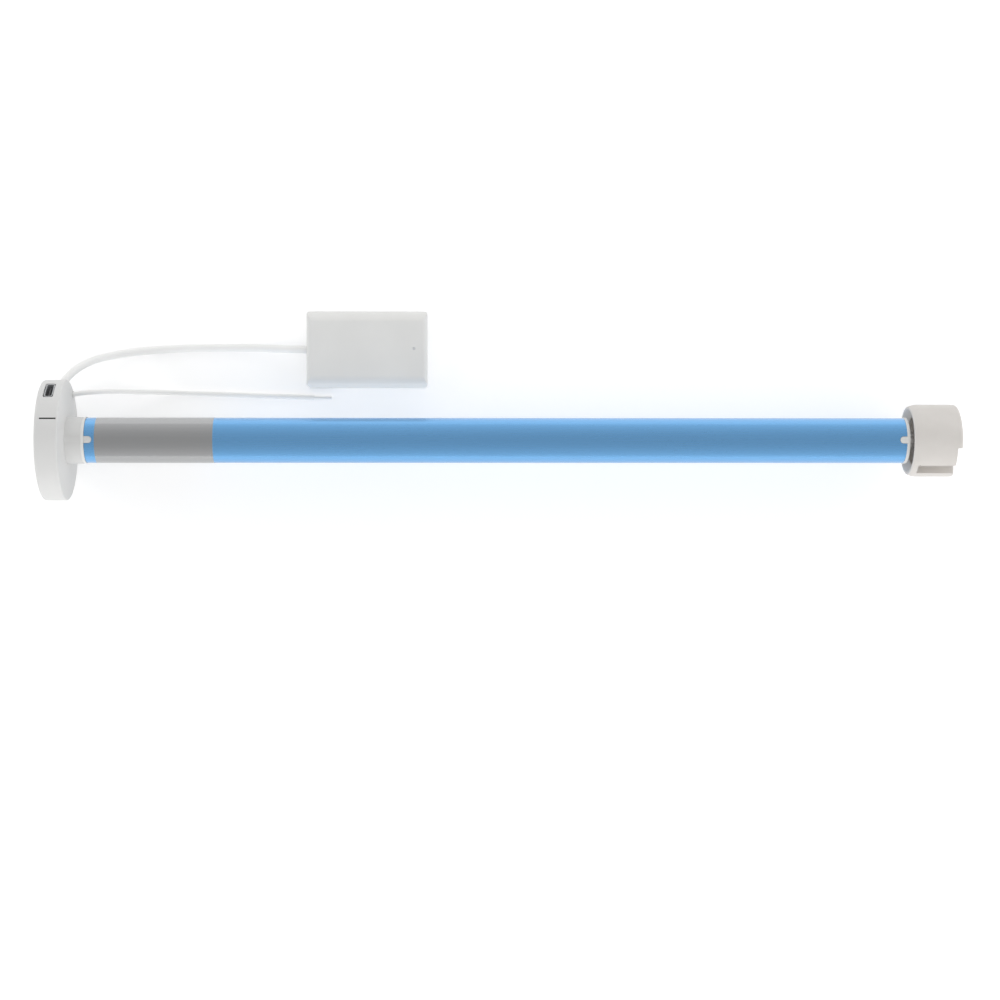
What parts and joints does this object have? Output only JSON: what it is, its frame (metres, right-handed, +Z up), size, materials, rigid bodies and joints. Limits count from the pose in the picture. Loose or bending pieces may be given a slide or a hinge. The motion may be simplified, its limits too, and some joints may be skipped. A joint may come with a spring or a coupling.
{
  "type": "tubular roller blind motor",
  "caption": "Slim tubular motor with a round head, charge port, radio module on a lead, wire antenna and a keyed drive wheel that turns a roller blind.",
  "frame": {"origin": "centre of the head's outer face, on the tube's axis, where the bracket's stub enters", "axes": "+X along the tube towards the drive wheel, +Z up from the surface that the motor lies on"},
  "size_m": [0.3621, 0.0766, 0.0478],
  "materials": {
    "white_abs": "fine satin moulded ABS",
    "bright_abs": "bright white moulded ABS",
    "cover_abs": "fine grained moulded ABS",
    "screw_steel": "zinc plated steel",
    "port_steel": "drawn stainless sheet",
    "black_plastic": "black glass filled plastic",
    "circuit_board": "green solder mask",
    "smoked_lens": "smoked polished acrylic",
    "pale_rubber": "soft pale rubber",
    "lead_pvc": "matt white PVC jacket",
    "blue_anodised": "blue anodised aluminium",
    "silver_label": "silver polyester film, bare",
    "cell_wrap": "shrink wrapped cell",
    "nickel": "nickel strip",
    "dark_rubber": "black damping rubber",
    "can_steel": "nickel plated drawn steel",
    "magnet": "ferrite magnet",
    "sintered_bronze": "oil filled sintered bronze",
    "armature": "laminated steel and copper",
    "gear_brass": "cut brass",
    "gear_resin": "moulded acetal",
    "gear_steel": "sintered steel",
    "shaft_steel": "bright ground steel",
    "wheel_resin": "warm grey moulded resin",
    "light_guide": "milky acrylic"
  },
  "bodies": {
    "motor_body": {"head_housing": "white_abs", "head_cover": "cover_abs", "cover_screws": "screw_steel", "charge_port_shell": "port_steel", "charge_port_tongue": "black_plastic", "head_board": "circuit_board", "tact_switch": "black_plastic", "indicator_lens": "smoked_lens", "lead_grommet": "pale_rubber", "antenna_grommet": "pale_rubber", "module_lead": "lead_pvc", "antenna_wire": "lead_pvc", "antenna_tip": "lead_pvc", "motor_tube": "blue_anodised", "rating_label": "silver_label", "battery_carrier": "black_plastic", "battery_cells": "cell_wrap", "battery_tabs": "nickel", "control_board": "circuit_board", "board_components": "black_plastic", "rubber_damper": "dark_rubber", "motor_can": "can_steel", "motor_magnets": "magnet", "motor_end_cap": "black_plastic", "motor_bush": "sintered_bronze", "ring_gear": "gear_resin", "output_end_plug": "bright_abs", "output_bearing": "sintered_bronze", "module_top_shell": "bright_abs", "module_base": "bright_abs", "module_board": "circuit_board", "module_components": "can_steel", "module_light_guide": "light_guide", "module_grommet": "pale_rubber"},
    "output_drive": {"output_carrier": "gear_steel", "output_shaft": "shaft_steel", "drive_wheel": "wheel_resin", "wheel_screw": "screw_steel"},
    "second_carrier": {"carrier_2": "gear_steel"},
    "first_carrier": {"carrier_1": "gear_steel"},
    "motor_rotor": {"rotor": "armature", "motor_pinion": "gear_brass", "hall_magnet": "magnet"},
    "button": {"set_button": "white_abs"},
    "stage1_gear_1": {"stage1_planet_1": "gear_resin"},
    "stage1_gear_2": {"stage1_planet_2": "gear_resin"},
    "stage1_gear_3": {"stage1_planet_3": "gear_resin"},
    "stage2_gear_1": {"stage2_planet_1": "gear_resin"},
    "stage2_gear_2": {"stage2_planet_2": "gear_resin"},
    "stage2_gear_3": {"stage2_planet_3": "gear_resin"},
    "stage3_gear_1": {"stage3_planet_1": "gear_resin"},
    "stage3_gear_2": {"stage3_planet_2": "gear_resin"},
    "stage3_gear_3": {"stage3_planet_3": "gear_resin"}
  },
  "joints": [
    {"name": "output_spin", "type": "hinge", "parent": "motor_body", "child": "output_drive", "pos_m": [0.3529, 0, 0], "axis": [1, 0, 0], "continuous": true},
    {"name": "second_carrier_spin", "type": "hinge", "parent": "motor_body", "child": "second_carrier", "pos_m": [0.3172, 0, 0], "axis": [1, 0, 0], "continuous": true},
    {"name": "first_carrier_spin", "type": "hinge", "parent": "motor_body", "child": "first_carrier", "pos_m": [0.3111, 0, 0], "axis": [1, 0, 0], "continuous": true},
    {"name": "rotor_spin", "type": "hinge", "parent": "motor_body", "child": "motor_rotor", "pos_m": [0.29, 0, 0], "axis": [1, 0, 0], "continuous": true},
    {"name": "stage1_planet_1_spin", "type": "hinge", "parent": "first_carrier", "child": "stage1_gear_1", "pos_m": [0.3082, 0.00405, 0], "axis": [1, 0, 0], "continuous": true},
    {"name": "stage1_planet_2_spin", "type": "hinge", "parent": "first_carrier", "child": "stage1_gear_2", "pos_m": [0.3082, -0.00202, 0.00351], "axis": [1, 0, 0], "continuous": true},
    {"name": "stage1_planet_3_spin", "type": "hinge", "parent": "first_carrier", "child": "stage1_gear_3", "pos_m": [0.3082, -0.00202, -0.00351], "axis": [1, 0, 0], "continuous": true},
    {"name": "stage2_planet_1_spin", "type": "hinge", "parent": "second_carrier", "child": "stage2_gear_1", "pos_m": [0.3139, 0.00405, 0], "axis": [1, 0, 0], "continuous": true},
    {"name": "stage2_planet_2_spin", "type": "hinge", "parent": "second_carrier", "child": "stage2_gear_2", "pos_m": [0.3139, -0.00202, 0.00351], "axis": [1, 0, 0], "continuous": true},
    {"name": "stage2_planet_3_spin", "type": "hinge", "parent": "second_carrier", "child": "stage2_gear_3", "pos_m": [0.3139, -0.00202, -0.00351], "axis": [1, 0, 0], "continuous": true},
    {"name": "stage3_planet_1_spin", "type": "hinge", "parent": "output_drive", "child": "stage3_gear_1", "pos_m": [0.3207, 0.00405, 0], "axis": [1, 0, 0], "continuous": true},
    {"name": "stage3_planet_2_spin", "type": "hinge", "parent": "output_drive", "child": "stage3_gear_2", "pos_m": [0.3207, -0.00202, 0.00351], "axis": [1, 0, 0], "continuous": true},
    {"name": "stage3_planet_3_spin", "type": "hinge", "parent": "output_drive", "child": "stage3_gear_3", "pos_m": [0.3207, -0.00202, -0.00351], "axis": [1, 0, 0], "continuous": true},
    {"name": "set_button_press", "type": "slide", "parent": "motor_body", "child": "button", "axis": [0, 0.9659, 0.2588], "range_m": [0, 0.0005], "stiffness_N_per_m": 400}
  ],
  "couplings": [
    {"joint": "second_carrier_spin", "follows": "output_spin", "ratio": 6},
    {"joint": "first_carrier_spin", "follows": "output_spin", "ratio": 36},
    {"joint": "rotor_spin", "follows": "output_spin", "ratio": 216},
    {"joint": "stage1_planet_1_spin", "follows": "output_spin", "ratio": -90},
    {"joint": "stage1_planet_2_spin", "follows": "output_spin", "ratio": -90},
    {"joint": "stage1_planet_3_spin", "follows": "output_spin", "ratio": -90},
    {"joint": "stage2_planet_1_spin", "follows": "output_spin", "ratio": -15},
    {"joint": "stage2_planet_2_spin", "follows": "output_spin", "ratio": -15},
    {"joint": "stage2_planet_3_spin", "follows": "output_spin", "ratio": -15},
    {"joint": "stage3_planet_1_spin", "follows": "output_spin", "ratio": -2.5},
    {"joint": "stage3_planet_2_spin", "follows": "output_spin", "ratio": -2.5},
    {"joint": "stage3_planet_3_spin", "follows": "output_spin", "ratio": -2.5}
  ]
}
